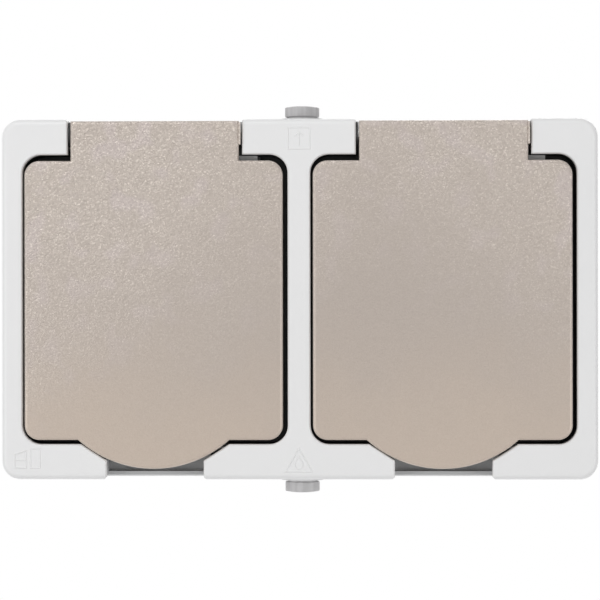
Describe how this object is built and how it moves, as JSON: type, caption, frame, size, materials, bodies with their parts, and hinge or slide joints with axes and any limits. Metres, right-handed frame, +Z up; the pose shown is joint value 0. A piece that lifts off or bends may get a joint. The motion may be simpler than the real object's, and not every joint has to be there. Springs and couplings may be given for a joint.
{
  "type": "two gang weatherproof socket outlet",
  "caption": "Surface-mounted splashproof socket outlet: a light frame on a rear box, with an earthed round socket behind each sprung, hinged lid and a closed cable nipple at top and bottom.",
  "frame": {"origin": "centre of the wall face at the back of the rear box", "axes": "+X to the right along the row of sockets, +Y into the wall, +Z up; the lids face -Y"},
  "size_m": [0.1502, 0.055, 0.103],
  "materials": {
    "frame_shell": "satin",
    "box_shell": "satin",
    "insert_grey": "satin",
    "lid_champagne": "champagne metallic lacquer with a fine grain",
    "rubber_grey": "soft satin",
    "rubber_black": "matte",
    "block_ivory": "matte",
    "brass": "bright",
    "steel": "zinc plated"
  },
  "bodies": {
    "housing": {"rear_box": "box_shell", "box_seal": "rubber_grey", "top_cable_grommet": "rubber_grey", "bottom_cable_grommet": "rubber_grey", "front_frame": "frame_shell", "left_socket_face": "insert_grey", "left_well_insert": "insert_grey", "left_face_screws": "steel", "left_cover_screws": "steel", "left_contact_block": "block_ivory", "left_block_screws": "steel", "left_line_contact": "brass", "left_neutral_contact": "brass", "left_earth_strap": "steel", "left_terminal_screws": "steel", "left_hinge_pin": "steel", "left_hinge_spring": "steel", "right_socket_face": "insert_grey", "right_well_insert": "insert_grey", "right_face_screws": "steel", "right_cover_screws": "steel", "right_contact_block": "block_ivory", "right_block_screws": "steel", "right_line_contact": "brass", "right_neutral_contact": "brass", "right_earth_strap": "steel", "right_terminal_screws": "steel", "right_hinge_pin": "steel", "right_hinge_spring": "steel"},
    "left_lid": {"left_lid": "lid_champagne", "left_lid_seal": "rubber_black"},
    "right_lid": {"right_lid": "lid_champagne", "right_lid_seal": "rubber_black"}
  },
  "joints": [
    {"name": "left_lid_hinge", "type": "hinge", "parent": "housing", "child": "left_lid", "pos_m": [-0.03635, -0.0504, 0.0417], "axis": [-1, 0, 0], "range_deg": [0, 105], "stiffness_Nm_per_rad": 0.012, "springref_deg": -57.3, "deforming": ["left_hinge_spring"]},
    {"name": "right_lid_hinge", "type": "hinge", "parent": "housing", "child": "right_lid", "pos_m": [0.03635, -0.0504, 0.0417], "axis": [-1, 0, 0], "range_deg": [0, 105], "stiffness_Nm_per_rad": 0.012, "springref_deg": -57.3, "deforming": ["right_hinge_spring"]}
  ]
}
